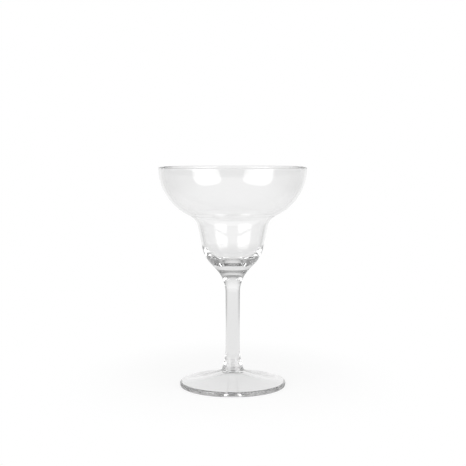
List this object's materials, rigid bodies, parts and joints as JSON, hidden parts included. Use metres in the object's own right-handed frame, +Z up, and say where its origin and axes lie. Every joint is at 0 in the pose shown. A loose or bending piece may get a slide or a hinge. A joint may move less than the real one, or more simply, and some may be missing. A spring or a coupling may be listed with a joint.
{
  "type": "margarita glass",
  "caption": "Clear margarita glass: a wide coupe stepping in to a narrow cup on a solid stem and a round foot.",
  "frame": {"origin": "centre of the circle that the foot stands on, at table level", "axes": "+Z up along the glass's axis of revolution, from the foot to the rim; X and Y lie in the table"},
  "size_m": [0.111, 0.111, 0.166],
  "materials": {
    "clear_glass": "polished, colourless"
  },
  "bodies": {
    "root": {"bowl": "clear_glass", "stem": "clear_glass", "foot": "clear_glass"}
  },
  "joints": []
}
